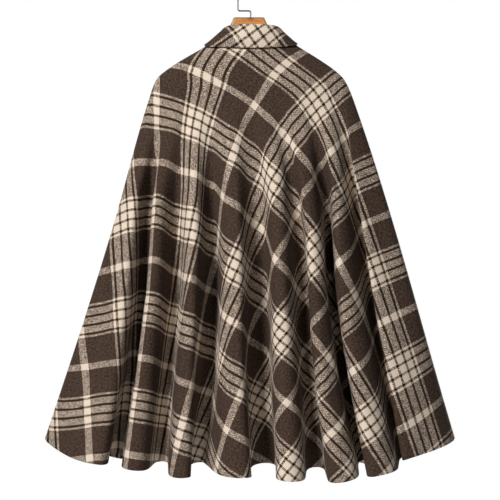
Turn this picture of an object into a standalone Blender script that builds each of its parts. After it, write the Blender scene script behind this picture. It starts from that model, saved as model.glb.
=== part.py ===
"""Flared, collared wool poncho hanging on a wooden clothes hanger.

Units are metres and +Z is up. The origin is the top of the inside of the hook, where a rail
carries it. The back of the poncho faces -Y and its left side, seen from behind, is at -X.
Each cloth panel is cut from part of a circle. It is draped row by row: a row is an arc of that
circle, laid in folds that swing between ridges and valleys and keep the length of the cloth.
"""
import math
from collections import namedtuple

import bpy
import numpy as np

# Named columns of the tables. Radius and angle are polar, about the centre of the circle that the
# cloth is cut from; fraction runs from 0 at the neckline to 1 at the hem.
EdgePoint = namedtuple("EdgePoint", "radius angle x z")
Fold = namedtuple("Fold", "kind angle middle_x hem_x")
Depth = namedtuple("Depth", "fraction stand_off fold_share")
FallEdge = namedtuple("FallEdge", "turn reach stand_off")
Panel = namedtuple("Panel", "first_edge last_edge folds depths rows side_to_side lap facing")
Draped = namedtuple("Draped", "grid shares fractions")

# Cloth
CLOTH_THICKNESS = 0.002
SIDE_SEAM_Y = 0.0009
NECK_SEAM_GAP = 0.0009

# Resolution of the cloth
COLUMNS_PER_FOLD = 5
BACK_ROWS = 15
FRONT_ROWS = 13
ROW_SPACING_POWER = 1.4
COLLAR_COLUMNS = 40
STAND_ROWS = 2
FALL_ROWS = 4
FINE_STEPS = 121

# Edges of the panels, from the neckline to the hem
LEFT_SIDE = [
    EdgePoint(0.179, 24.6, -0.0760, -0.1210),
    EdgePoint(0.250, 4.0, -0.1722, -0.1803),
    EdgePoint(0.269, 0.0, -0.1866, -0.1937),
    EdgePoint(0.313, -3.5, -0.2028, -0.2365),
    EdgePoint(1.014, -16.8, -0.4102, -0.9125),
]
RIGHT_SIDE = [
    EdgePoint(0.176, 66.7, 0.0840, -0.1210),
    EdgePoint(0.280, 76.6, 0.1780, -0.1835),
    EdgePoint(0.300, 77.6, 0.1902, -0.1977),
    EdgePoint(0.342, 79.4, 0.2066, -0.2345),
    EdgePoint(1.065, 86.3, 0.4098, -0.9117),
]
LEFT_CENTRE_FRONT = [
    EdgePoint(0.215, 40.0, 0.0100, -0.1785),
    EdgePoint(0.985, 28.0, 0.0100, -0.9400),
]
RIGHT_CENTRE_FRONT = [
    EdgePoint(0.215, 50.0, -0.0020, -0.1785),
    EdgePoint(0.985, 41.0, -0.0020, -0.9400),
]

# Folds, from one edge of a panel to the other: angle at the hem, place across half-way and at the hem
BACK_FOLDS = [
    Fold("ridge", -12.5, -0.284, -0.348),
    Fold("valley", -5.5, -0.230, -0.274),
    Fold("ridge", 1.0, -0.200, -0.232),
    Fold("valley", 5.5, -0.156, -0.184),
    Fold("ridge", 11.0, -0.126, -0.132),
    Fold("valley", 17.0, -0.082, -0.094),
    Fold("ridge", 24.5, -0.036, -0.038),
    Fold("valley", 33.5, 0.010, 0.026),
    Fold("ridge", 43.0, 0.058, 0.082),
    Fold("valley", 49.5, 0.102, 0.130),
    Fold("ridge", 57.0, 0.138, 0.184),
    Fold("valley", 63.5, 0.160, 0.226),
    Fold("ridge", 70.0, 0.196, 0.262),
    Fold("valley", 75.5, 0.238, 0.300),
    Fold("ridge", 82.0, 0.284, 0.356),
]
LEFT_FRONT_FOLDS = [
    Fold("ridge", -12.0, -0.262, -0.340),
    Fold("valley", -3.5, -0.204, -0.262),
    Fold("ridge", 5.5, -0.140, -0.182),
    Fold("valley", 15.5, -0.078, -0.100),
]
RIGHT_FRONT_FOLDS = [
    Fold("ridge", 81.5, 0.262, 0.340),
    Fold("valley", 73.0, 0.200, 0.256),
    Fold("ridge", 64.0, 0.138, 0.176),
    Fold("valley", 54.0, 0.072, 0.094),
]
FOLD_START = 0.29
FOLD_MIDDLE = 0.60
STEEPEST_FOLD = 1.95
LEAST_DROP = 0.30

# How far a panel stands off the hanger's plane, and how much of the full depth its folds have
BACK_DEPTHS = [
    Depth(0.00, 0.030, 0.00),
    Depth(0.12, 0.030, 0.25),
    Depth(0.35, 0.052, 0.70),
    Depth(0.60, 0.082, 0.95),
    Depth(1.00, 0.115, 0.95),
]
FRONT_DEPTHS = [
    Depth(0.00, 0.055, 0.00),
    Depth(0.12, 0.046, 0.20),
    Depth(0.35, 0.062, 0.50),
    Depth(0.60, 0.082, 0.60),
    Depth(1.00, 0.108, 0.58),
]
LAP_AT_NECK = 0.0025
LAP_AT_HEM = 0.0050

PANELS = {
    "back": Panel(LEFT_SIDE, RIGHT_SIDE, BACK_FOLDS, BACK_DEPTHS, BACK_ROWS, True, 0.0, -1.0),
    "left_front": Panel(LEFT_SIDE, LEFT_CENTRE_FRONT, LEFT_FRONT_FOLDS, FRONT_DEPTHS, FRONT_ROWS,
                        False, -1.0, 1.0),
    "right_front": Panel(RIGHT_SIDE, RIGHT_CENTRE_FRONT, RIGHT_FRONT_FOLDS, FRONT_DEPTHS, FRONT_ROWS,
                         False, 1.0, 1.0),
}

# Neckline ring, half sizes about its centre
NECK_CENTRE_X = 0.004
NECK_HALF_WIDTH = 0.080
NECK_BACK_DEPTH = 0.030
NECK_FRONT_DEPTH = 0.055
NECK_Z = -0.121
NECK_FRONT_DROP = 0.055
NECK_DROP_POWER = 1.5

# Collar: the ring of its fold line, and the lower edge of its fall by turn (0 behind, 1 in front),
# with its reach below the neckline and its stand-off from the panel under it
FOLD_HALF_WIDTH = 0.062
FOLD_BACK_DEPTH = 0.032
FOLD_FRONT_DEPTH = 0.056
FOLD_BACK_Z = -0.0845
FOLD_SIDE_DROP = 0.020
FOLD_FRONT_DROP = 0.066
FOLD_SIDE_POWER = 4
FALL_EDGE = [
    FallEdge(0.00, 0.009, 0.022),
    FallEdge(0.35, 0.010, 0.018),
    FallEdge(0.50, 0.020, 0.0045),
    FallEdge(0.75, 0.030, 0.0070),
    FallEdge(0.97, 0.050, 0.0080),
]
FALL_LEAN = 0.5
FALL_BULGE = 0.0055
COLLAR_FRONT_GAP = math.radians(7.0)
COLLAR_LAYER_STEP = CLOTH_THICKNESS + 0.0013

# Hanger
BAR_THICKNESS = 0.008
BAR_EDGE_ROUNDING = 0.0035
BAR_CENTRE_X = -0.002
BAR_CREST_Z = -0.0707
BAR_CREST_HALF_WIDTH = 0.033
BAR_CREST_CORNER = 0.005
BAR_CREST_FOOT_HALF_WIDTH = 0.036
BAR_CREST_FOOT_Z = -0.100
BAR_UNDERSIDE_Z = -0.1444
BAR_ARM_HEIGHT = 0.026
BAR_ARM_REACH = 0.70
BAR_CLEARANCE = 0.0011
HOOK_WIRE_RADIUS = 0.0015
HOOK_RADIUS = 0.024
HOOK_JOG_Z = -0.0575
HOOK_STEM_X = 0.0014
HOOK_STEM_GAP = 0.0003
HOOK_BEND_RADIUS = 0.004
HOOK_TIP_ANGLE = math.radians(-35.0)
HOOK_ARC_POINTS = 22
CORNER_POINTS = 5
ARM_END_POINTS = 7

# Colours, linear RGB
WOOL_BROWN = (0.075, 0.050, 0.038, 1.0)
WOOL_CREAM = (0.420, 0.330, 0.245, 1.0)
VARNISHED_WOOD = (0.480, 0.210, 0.070, 1.0)
STEEL = (0.550, 0.550, 0.560, 1.0)


def clear_scene():
    for old in list(bpy.data.objects):
        bpy.data.objects.remove(old)


def plain_material(name, colour, roughness, metallic=0.0):
    material = bpy.data.materials.new(name)
    material.use_nodes = True
    shader = material.node_tree.nodes["Principled BSDF"]
    shader.inputs["Base Color"].default_value = colour
    shader.inputs["Roughness"].default_value = roughness
    shader.inputs["Metallic"].default_value = metallic
    return material


# Cut of a panel

def along_table(table, key, value, at):
    """Value of one named column of a table at a place along another."""
    return np.interp(at, [getattr(row, key) for row in table], [getattr(row, value) for row in table])


def edge_radius(edge, fraction):
    return edge[0].radius + (edge[-1].radius - edge[0].radius) * fraction


def edge_at(edge, fraction):
    """Angle in the cut and place in space of a panel's edge; the edge is straight in the flat cloth."""
    radius = edge_radius(edge, fraction)
    radii = [point.radius for point in edge]
    flat_u = np.interp(radius, radii, [p.radius * math.cos(math.radians(p.angle)) for p in edge])
    flat_v = np.interp(radius, radii, [p.radius * math.sin(math.radians(p.angle)) for p in edge])
    place_x = along_table(edge, "radius", "x", radius)
    place_z = along_table(edge, "radius", "z", radius)
    return math.atan2(flat_v, flat_u), place_x, place_z


def fold_shares(panel):
    """Share of the panel's width, in the flat cloth, at which each ridge and valley lies."""
    first_angle = math.radians(panel.first_edge[-1].angle)
    last_angle = math.radians(panel.last_edge[-1].angle)
    inner = [(math.radians(fold.angle) - first_angle) / (last_angle - first_angle) for fold in panel.folds]
    return [0.0] + inner + [1.0]


def straight_x(panel, share, fraction):
    first_x = edge_at(panel.first_edge, fraction)[1]
    last_x = edge_at(panel.last_edge, fraction)[1]
    return first_x + (last_x - first_x) * share


def fold_x(panel, fold, share, fraction):
    """Place across of a ridge or valley: smooth above, then by its track to the hem."""
    straight = straight_x(panel, share, fraction)
    travel = (fraction - FOLD_START) / (1.0 - FOLD_START)
    if travel <= 0.0:
        return straight
    middle = (FOLD_MIDDLE - FOLD_START) / (1.0 - FOLD_START)
    middle_offset = fold.middle_x - straight_x(panel, share, FOLD_MIDDLE)
    hem_offset = fold.hem_x - straight_x(panel, share, 1.0)
    square = (middle_offset - hem_offset * middle ** 3) / (middle ** 2 - middle ** 3)
    return straight + square * travel ** 2 + (hem_offset - square) * travel ** 3


# Drape of a panel

def fold_slope(kind, ratio, along):
    """Direction of the cloth in plan along half a fold, for its span over its length of cloth."""
    if kind in ("start", "end"):
        inwards = along if kind == "end" else along - 1.0
        power = np.interp(ratio, [0.30, 0.64, 0.80, 0.95], [0.35, 1.0, 2.2, 6.0])
        return 0.5 * math.pi * np.sign(inwards) * np.abs(inwards) ** power
    slopes = np.linspace(0.0, STEEPEST_FOLD, FINE_STEPS)
    spans = np.cos(slopes[:, None] * np.sin(math.pi * along)[None, :]).mean(axis=1)
    steepest = np.interp(-ratio, -spans, slopes)
    direction = 1.0 if kind == "ridge" else -1.0
    return direction * steepest * np.sin(math.pi * along)


def running_sum(values):
    steps = 0.5 * (values[1:] + values[:-1]) / (len(values) - 1)
    return np.concatenate([[0.0], np.cumsum(steps)])


def half_fold(length, span, kind):
    """Place across and in depth at the columns along half a fold."""
    along = np.linspace(0.0, 1.0, FINE_STEPS)
    slope = fold_slope(kind, min(abs(span) / length, 1.0), along)
    across = running_sum(np.cos(slope))
    depth = running_sum(np.sin(slope))
    columns = np.linspace(0.0, 1.0, COLUMNS_PER_FOLD + 1)[1:]
    return np.interp(columns, along, across / across[-1]) * span, np.interp(columns, along, depth) * length


def panel_columns(shares):
    steps = [np.linspace(start, stop, COLUMNS_PER_FOLD, endpoint=False)
             for start, stop in zip(shares[:-1], shares[1:])]
    return np.concatenate(steps + [[1.0]])


def neck_swell(panel, columns):
    """Bow of a row in plan: half an ellipse from side to side, or a quarter to the centre front."""
    if panel.side_to_side:
        return 2.0 * np.sqrt(columns * (1.0 - columns))
    return np.sqrt(columns * (2.0 - columns))


def drape_row(panel, shares, columns, fraction):
    """Flat points, and plan points, of one arc of the cut."""
    first_angle = edge_at(panel.first_edge, fraction)[0]
    last_angle = edge_at(panel.last_edge, fraction)[0]
    first_radius = edge_radius(panel.first_edge, fraction)
    last_radius = edge_radius(panel.last_edge, fraction)
    radii = first_radius + (last_radius - first_radius) * columns
    angles = first_angle + (last_angle - first_angle) * columns
    flat = np.stack([radii * np.cos(angles), radii * np.sin(angles)], axis=1)
    lengths = np.linalg.norm(np.diff(flat, axis=0), axis=1)
    stations = [straight_x(panel, 0.0, fraction)]
    stations += [fold_x(panel, fold, share, fraction) for fold, share in zip(panel.folds, shares[1:])]
    stations += [straight_x(panel, 1.0, fraction)]
    kinds = ["start"] + [fold.kind for fold in panel.folds]
    if panel.side_to_side:
        kinds[-1] = "end"
    across = [stations[0]]
    depth = [0.0]
    fold_share = along_table(panel.depths, "fraction", "fold_share", fraction)
    for index, kind in enumerate(kinds):
        begin = index * COLUMNS_PER_FOLD
        length = lengths[begin:begin + COLUMNS_PER_FOLD].sum()
        run_x, run_depth = half_fold(length, stations[index + 1] - stations[index], kind)
        across.extend(stations[index] + run_x)
        depth.extend(depth[-1] + run_depth * fold_share)
    level_depth = np.array(depth) - depth[-1] * columns
    stand_off = along_table(panel.depths, "fraction", "stand_off", fraction)
    lap = panel.lap * (LAP_AT_NECK + (LAP_AT_HEM - LAP_AT_NECK) * fraction)
    outwards = SIDE_SEAM_Y + stand_off * neck_swell(panel, columns) - level_depth + lap * columns
    return flat, np.array(across), panel.facing * outwards


def drape(panel):
    """Draped points of a panel, a row for each arc of the cut from the neckline to the hem."""
    shares = fold_shares(panel)
    columns = panel_columns(shares)
    fractions = np.linspace(0.0, 1.0, panel.rows + 1) ** ROW_SPACING_POWER
    grid = np.zeros((len(fractions), len(columns), 3))
    flat = np.zeros((len(fractions), len(columns), 2))
    for row, fraction in enumerate(fractions):
        flat[row], grid[row, :, 0], grid[row, :, 1] = drape_row(panel, shares, columns, fraction)
    neck_drop = 0.0 if panel.side_to_side else panel.last_edge[0].z - panel.first_edge[0].z
    grid[0, :, 2] = NECK_Z + neck_drop * neck_swell(panel, columns) ** NECK_DROP_POWER
    hang(panel, grid, flat, columns, fractions)
    return Draped(grid, columns, fractions)


def hang(panel, grid, flat, columns, fractions):
    """Heights: what is left of the cloth's length down a column after its run in plan."""
    for row in range(1, len(grid)):
        cloth = np.linalg.norm(flat[row] - flat[row - 1], axis=1)
        plan = np.linalg.norm(grid[row, :, :2] - grid[row - 1, :, :2], axis=1)
        drop = np.sqrt(np.maximum(cloth ** 2 - plan ** 2, (LEAST_DROP * cloth) ** 2))
        grid[row, :, 2] = grid[row - 1, :, 2] - drop
    first_error = np.array([edge_at(panel.first_edge, fraction)[2] for fraction in fractions]) - grid[:, 0, 2]
    last_error = np.array([edge_at(panel.last_edge, fraction)[2] for fraction in fractions]) - grid[:, -1, 2]
    grid[:, :, 2] += first_error[:, None] * (1.0 - columns) ** 4 + last_error[:, None] * columns ** 4


def move_to(thing, target):
    for owner in list(thing.users_collection):
        owner.objects.unlink(thing)
    target.objects.link(thing)


def cloth_wall(name, grid, material, target, flip=False):
    """A wall of cloth: a grid primitive laid on the draped points, with its thickness inwards."""
    rows, columns, _ = grid.shape
    bpy.ops.mesh.primitive_grid_add(x_subdivisions=columns - 1, y_subdivisions=rows - 1, size=2.0)
    wall = bpy.context.object
    wall.name = name
    for vertex in wall.data.vertices:
        column_index = round((vertex.co.x + 1.0) * 0.5 * (columns - 1))
        row_index = round((1.0 - vertex.co.y) * 0.5 * (rows - 1))
        vertex.co = grid[row_index, column_index]
    if flip:
        wall.data.flip_normals()
    solidify = wall.modifiers.new("cloth thickness", "SOLIDIFY")
    solidify.thickness = CLOTH_THICKNESS
    solidify.offset = -1.0
    wall.data.materials.append(material)
    wall.data.shade_smooth()
    move_to(wall, target)


# Collar

def neck_ring(angles, half_width, back_depth, front_depth, back_z, side_drop, front_drop):
    """A line round the neck, level behind, dropping over the shoulders to the front."""
    sine = np.sin(angles)
    cosine = np.cos(angles)
    behind = cosine > 0.0
    depth = -cosine * np.where(behind, back_depth, front_depth)
    side_share = np.where(behind, np.abs(sine) ** FOLD_SIDE_POWER, 1.0)
    front_share = np.where(behind, 0.0, np.abs(cosine) ** NECK_DROP_POWER)
    height = back_z - side_drop * side_share - (front_drop - side_drop) * front_share
    return np.stack([NECK_CENTRE_X + half_width * sine, depth, height], axis=1)


def outward(angles):
    """Directions that lead out from the neck and a little up."""
    directions = np.stack([np.sin(angles), -np.cos(angles), np.full(len(angles), FALL_LEAN)], axis=1)
    return directions / np.linalg.norm(directions, axis=1)[:, None]


def on_panel(panel, draped, place_x, reach):
    """Point of a draped panel at a reach below the place x of its neckline."""
    first_x = panel.first_edge[0].x
    share = np.clip((place_x - first_x) / (panel.last_edge[0].x - first_x), 0.0, 1.0)
    cloth = edge_radius(panel.first_edge, 1.0) - edge_radius(panel.first_edge, 0.0)
    row_line = [[np.interp(reach / cloth, draped.fractions, draped.grid[:, index, axis])
                 for index in range(len(draped.shares))] for axis in range(3)]
    return [np.interp(share, draped.shares, line) for line in row_line]


def fall_edge_line(angles, draped_panels):
    """Lower edge of the collar: points of the panels, moved out."""
    points = []
    for angle in angles:
        name = "back"
        if math.cos(angle) < 0.0:
            name = "left_front" if angle < 0.0 else "right_front"
        turn = abs(angle) / math.pi
        place_x = NECK_CENTRE_X + NECK_HALF_WIDTH * math.sin(angle)
        reach = along_table(FALL_EDGE, "turn", "reach", turn)
        points.append(on_panel(PANELS[name], draped_panels[name], place_x, reach))
    stand_off = along_table(FALL_EDGE, "turn", "stand_off", np.abs(angles) / math.pi)
    return np.array(points) + outward(angles) * stand_off[:, None]


def rows_between(first, last, rows, bulge):
    shares = np.linspace(0.0, 1.0, rows + 1)[:, None, None]
    return first[None] * (1.0 - shares) + last[None] * shares + bulge[None] * np.sin(math.pi * shares)


def make_collar(draped_panels, material, target):
    limit = math.pi - COLLAR_FRONT_GAP
    angles = np.linspace(-limit, limit, COLLAR_COLUMNS + 1)
    step = COLLAR_LAYER_STEP
    seam = neck_ring(angles, NECK_HALF_WIDTH, NECK_BACK_DEPTH, NECK_FRONT_DEPTH,
                     NECK_Z + NECK_SEAM_GAP, 0.0, NECK_FRONT_DROP)
    fold = neck_ring(angles, FOLD_HALF_WIDTH, FOLD_BACK_DEPTH, FOLD_FRONT_DEPTH,
                     FOLD_BACK_Z, FOLD_SIDE_DROP, FOLD_FRONT_DROP)
    fall_top = neck_ring(angles, FOLD_HALF_WIDTH + step, FOLD_BACK_DEPTH + step, FOLD_FRONT_DEPTH + step,
                         FOLD_BACK_Z, FOLD_SIDE_DROP, FOLD_FRONT_DROP)
    fall_edge = fall_edge_line(angles, draped_panels)
    straight = np.zeros_like(seam)
    cloth_wall("collar_stand", rows_between(fold, seam, STAND_ROWS, straight), material, target)
    bulge = outward(angles) * FALL_BULGE
    cloth_wall("collar_fall", rows_between(fall_top, fall_edge, FALL_ROWS, bulge), material, target)


# Hanger

def arc_points(centre, radius, start, stop, count):
    angles = np.linspace(start, stop, count)
    return [(centre[0] + radius * math.cos(angle), centre[1] + radius * math.sin(angle)) for angle in angles]


def arm_points(side_edge, side):
    """One arm: its top follows the shoulder under the cloth, and its end is round."""
    neck, shoulder = side_edge[0], side_edge[1]
    slope = math.atan2(neck.z - shoulder.z, abs(shoulder.x - neck.x))
    drop = (CLOTH_THICKNESS + BAR_CLEARANCE) / math.cos(slope)
    tip_x = neck.x + (shoulder.x - neck.x) * BAR_ARM_REACH
    tip_z = neck.z + (shoulder.z - neck.z) * BAR_ARM_REACH - drop
    half = 0.5 * BAR_ARM_HEIGHT
    centre_x = tip_x - side * half * math.sin(slope)
    centre_z = tip_z - half * math.cos(slope)
    start = 0.5 * math.pi - slope
    turn = arc_points((0.0, 0.0), half, start, start - math.pi, ARM_END_POINTS)
    return [(neck.x, neck.z - drop)] + [(centre_x + side * x, centre_z + z) for x, z in turn]


def crest_corner(side, start, stop):
    inset = BAR_CREST_HALF_WIDTH - BAR_CREST_CORNER
    centre = (BAR_CENTRE_X + side * inset, BAR_CREST_Z - BAR_CREST_CORNER)
    return arc_points(centre, BAR_CREST_CORNER, start, stop, CORNER_POINTS)


def bar_outline():
    """Outline of the wooden bar: a flat crest over two sloping arms."""
    left = [(BAR_CENTRE_X - BAR_CREST_FOOT_HALF_WIDTH, BAR_CREST_FOOT_Z)] + arm_points(LEFT_SIDE, -1.0)
    right = [(BAR_CENTRE_X + BAR_CREST_FOOT_HALF_WIDTH, BAR_CREST_FOOT_Z)] + arm_points(RIGHT_SIDE, 1.0)
    crest = crest_corner(1.0, 0.0, 0.5 * math.pi) + crest_corner(-1.0, 0.5 * math.pi, math.pi)
    return crest + left + [(BAR_CENTRE_X, BAR_UNDERSIDE_Z)] + right[::-1]


def poly_curve(name, points, dimensions, material, target):
    """A curve object with one poly spline through the points."""
    curve = bpy.data.curves.new(name, "CURVE")
    curve.dimensions = dimensions
    spline = curve.splines.new("POLY")
    spline.points.add(len(points) - 1)
    for spline_point, place in zip(spline.points, points):
        spline_point.co = (*place, 1.0)
    curve.materials.append(material)
    piece = bpy.data.objects.new(name, curve)
    target.objects.link(piece)
    return piece


def make_bar(material, target):
    outline = [(x, z, 0.0) for x, z in bar_outline()]
    bar = poly_curve("hanger_bar", outline, "2D", material, target)
    bar.data.splines[0].use_cyclic_u = True
    bar.data.fill_mode = "BOTH"
    bar.data.extrude = 0.5 * BAR_THICKNESS - BAR_EDGE_ROUNDING
    bar.data.bevel_depth = BAR_EDGE_ROUNDING
    bar.data.bevel_resolution = 1
    bar.data.offset = -BAR_EDGE_ROUNDING
    bar.rotation_euler = (0.5 * math.pi, 0.0, 0.0)


def hook_route():
    """Centre line of the wire: a stem, a jog to the side, then up and round over the rail."""
    bend = HOOK_BEND_RADIUS
    stem_bend = (HOOK_STEM_X - bend, HOOK_JOG_Z - bend)
    side_bend = (bend - HOOK_RADIUS, HOOK_JOG_Z + bend)
    route = [(HOOK_STEM_X, BAR_CREST_Z + HOOK_STEM_GAP)]
    route += arc_points(stem_bend, bend, 0.0, 0.5 * math.pi, CORNER_POINTS)
    route += arc_points(side_bend, bend, -0.5 * math.pi, -math.pi, CORNER_POINTS)
    route += arc_points((0.0, HOOK_WIRE_RADIUS - HOOK_RADIUS), HOOK_RADIUS, math.pi, HOOK_TIP_ANGLE,
                        HOOK_ARC_POINTS)
    return route


def make_hook(material, target):
    route = [(x, 0.0, z) for x, z in hook_route()]
    hook = poly_curve("hanger_hook", route, "3D", material, target)
    hook.data.bevel_depth = HOOK_WIRE_RADIUS
    hook.data.bevel_resolution = 2
    hook.data.use_fill_caps = True


def main():
    clear_scene()
    target = bpy.data.collections.new("poncho_on_hanger")
    bpy.context.scene.collection.children.link(target)
    wool = plain_material("plaid_wool", WOOL_BROWN, 0.95)
    collar_wool = plain_material("collar_wool", WOOL_CREAM, 0.95)
    wood = plain_material("varnished_wood", VARNISHED_WOOD, 0.35)
    steel = plain_material("steel_wire", STEEL, 0.25, 1.0)
    draped_panels = {name: drape(panel) for name, panel in PANELS.items()}
    for name, draped in draped_panels.items():
        cloth_wall(name, draped.grid, wool, target, flip=name == "left_front")
    make_collar(draped_panels, collar_wool, target)
    make_bar(wood, target)
    make_hook(steel, target)


main()
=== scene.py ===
"""Looks of a flared, collared wool poncho in brown and cream plaid, on a wooden clothes hanger.

Metres, +Z up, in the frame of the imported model. The origin is the top of the inside of the hook.
The back of the poncho faces -Y. Each panel is cut from part of a circle and draped row by row: a row
is an arc of that circle, laid in folds that swing between ridges and valleys.
"""
import math
from collections import namedtuple

import bmesh
import bpy
import numpy as np
from mathutils import Matrix, Vector


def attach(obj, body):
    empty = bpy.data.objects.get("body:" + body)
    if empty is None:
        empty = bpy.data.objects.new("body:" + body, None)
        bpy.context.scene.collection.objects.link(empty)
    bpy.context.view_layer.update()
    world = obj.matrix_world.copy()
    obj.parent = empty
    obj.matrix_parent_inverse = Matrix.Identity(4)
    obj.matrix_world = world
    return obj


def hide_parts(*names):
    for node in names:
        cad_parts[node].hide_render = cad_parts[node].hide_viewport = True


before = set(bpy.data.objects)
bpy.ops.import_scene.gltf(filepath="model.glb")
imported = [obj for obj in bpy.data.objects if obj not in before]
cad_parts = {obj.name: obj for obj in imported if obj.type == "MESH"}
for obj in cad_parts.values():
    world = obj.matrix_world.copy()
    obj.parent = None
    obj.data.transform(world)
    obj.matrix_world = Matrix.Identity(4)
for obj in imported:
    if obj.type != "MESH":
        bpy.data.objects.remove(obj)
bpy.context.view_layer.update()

# Named columns of the tables. Radius and angle are polar, about the centre of the circle that the
# cloth is cut from; fraction runs from 0 at the neckline to 1 at the hem, share from 0 at a panel's
# first edge to 1 at its last.
EdgePoint = namedtuple("EdgePoint", "radius angle x z")
Fold = namedtuple("Fold", "kind upper_angle hem_angle upper_x middle_x lower_x hem_x middle_sag hem_sag"
                          " hem_radius deeper bend")
Depth = namedtuple("Depth", "fraction stand_off fold_share")
FallEdge = namedtuple("FallEdge", "turn reach stand_off")
Stripe = namedtuple("Stripe", "yarn width")
Crease = namedtuple("Crease", "share upper lower drift half_width depth")
Panel = namedtuple("Panel", "first_edge last_edge folds creases depths fold_columns rows side_to_side lap"
                            " facing")
Draped = namedtuple("Draped", "grid flat shares fractions")
SoftBox = namedtuple("SoftBox", "name place size power")

# Cloth
CLOTH_THICKNESS = 0.0020
EDGE_ROUNDING = 0.0006
EDGE_STEPS = 2
SHARP_CLOTH_EDGE = math.radians(60.0)
SIDE_SEAM_Y = -0.0002
CUT_MAP = "cut"

# Resolution: columns of points in half a fold, rows of points down a panel, and steps along a profile
BACK_FOLD_COLUMNS = 19
FRONT_FOLD_COLUMNS = 26
BACK_ROWS = 132
FRONT_ROWS = 110
ROW_SPACING_POWER = 1.4
FINE_STEPS = 161

# Edges of the panels, from the neckline to the hem
LEFT_SIDE = [
    EdgePoint(0.179, 24.6, -0.0760, -0.1210),
    EdgePoint(0.250, 4.0, -0.1722, -0.1803),
    EdgePoint(0.269, 0.0, -0.1866, -0.1937),
    EdgePoint(0.313, -3.5, -0.2028, -0.2365),
    EdgePoint(0.540, -13.0, -0.2710, -0.4777),
    EdgePoint(0.746, -14.7, -0.3330, -0.6787),
    EdgePoint(1.014, -16.8, -0.4102, -0.9125),
]
RIGHT_SIDE = [
    EdgePoint(0.176, 66.7, 0.0840, -0.1210),
    EdgePoint(0.280, 76.6, 0.1780, -0.1835),
    EdgePoint(0.300, 77.6, 0.1902, -0.1977),
    EdgePoint(0.342, 79.4, 0.2066, -0.2345),
    EdgePoint(1.065, 86.3, 0.4098, -0.9117),
]
LEFT_CENTRE_FRONT = [
    EdgePoint(0.215, 40.0, 0.0100, -0.1785),
    EdgePoint(0.985, 28.0, 0.0100, -0.9400),
]
RIGHT_CENTRE_FRONT = [
    EdgePoint(0.215, 50.0, -0.0020, -0.1785),
    EdgePoint(0.985, 41.0, -0.0020, -0.9400),
]

# Folds, from one edge of a panel to the other. A ridge or valley has its angle in the cut at FOLD_UPPER
# and at the hem, its place across at the fractions in FOLD_STATIONS, how far the cloth has sunk half-way
# and at the hem, the radius that the hem is cut to there, the depth added to a valley, and the share of
# the half fold after it that the bend of the ridge takes. Above FOLD_START a fold has faded into the
# smooth shoulders.
FOLD_START = 0.18
FOLD_UPPER = 0.37
FOLD_DRIFT_POWER = 0.6
FOLD_STATIONS = (FOLD_UPPER, 0.60, 0.80, 1.00)
SAG_START = 0.10
SAG_MIDDLE = 0.62
DEEPER_FRACTIONS = (0.0, FOLD_START, FOLD_UPPER, 0.75, 1.0)
DEEPER_PARTS = (0.0, 0.0, 1.0, 1.0, 0.3)
BACK_FOLDS = [
    Fold("ridge", -8.3, -10.1, -0.229, -0.250, -0.271, -0.292, -0.004, -0.010, 1.044, 0.000, 0.50),
    Fold("valley", -3.4, -5.0, -0.200, -0.217, -0.239, -0.263, -0.008, -0.014, 1.036, 0.022, 0.42),
    Fold("ridge", 1.1, 0.9, -0.180, -0.190, -0.206, -0.220, -0.008, -0.018, 1.043, 0.000, 0.50),
    Fold("valley", 6.6, 6.5, -0.143, -0.147, -0.160, -0.168, 0.010, -0.010, 1.027, 0.016, 0.52),
    Fold("ridge", 12.0, 12.7, -0.109, -0.112, -0.120, -0.124, 0.012, 0.010, 1.016, 0.000, 0.32),
    Fold("valley", 19.2, 18.6, -0.072, -0.070, -0.076, -0.096, 0.016, 0.007, 1.005, 0.006, 0.60),
    Fold("ridge", 28.5, 27.2, -0.027, -0.024, -0.022, -0.012, 0.030, 0.026, 0.994, 0.000, 0.28),
    Fold("valley", 35.7, 34.2, 0.015, 0.021, 0.023, 0.029, 0.028, 0.018, 0.995, 0.006, 0.38),
    Fold("ridge", 44.0, 43.0, 0.054, 0.062, 0.069, 0.076, 0.040, 0.018, 1.013, 0.000, 0.46),
    Fold("valley", 50.4, 49.6, 0.093, 0.110, 0.121, 0.130, 0.030, 0.004, 1.025, 0.014, 0.42),
    Fold("ridge", 55.2, 56.2, 0.111, 0.128, 0.144, 0.171, 0.027, 0.004, 1.041, 0.000, 0.60),
    Fold("valley", 63.0, 62.8, 0.151, 0.166, 0.191, 0.224, 0.017, 0.002, 1.040, 0.024, 0.42),
    Fold("ridge", 68.8, 68.6, 0.167, 0.183, 0.207, 0.238, 0.014, 0.014, 1.041, 0.000, 0.62),
    Fold("valley", 75.4, 76.0, 0.209, 0.245, 0.277, 0.309, -0.006, 0.004, 1.060, 0.032, 0.26),
    Fold("ridge", 78.2, 79.6, 0.209, 0.238, 0.267, 0.297, -0.007, 0.008, 1.047, 0.000, 0.50),
]
LEFT_FRONT_FOLDS = [
    Fold("ridge", -5.0, -12.0, -0.232, -0.262, -0.304, -0.340, 0.004, 0.000, 1.011, 0.000, 0.50),
    Fold("valley", 2.6, -3.5, -0.180, -0.204, -0.236, -0.262, 0.004, -0.006, 1.005, 0.000, 0.42),
    Fold("ridge", 10.7, 5.5, -0.122, -0.140, -0.164, -0.182, 0.004, 0.000, 1.000, 0.000, 0.50),
    Fold("valley", 19.6, 15.5, -0.066, -0.078, -0.090, -0.100, 0.004, -0.006, 0.993, 0.000, 0.42),
]
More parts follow.
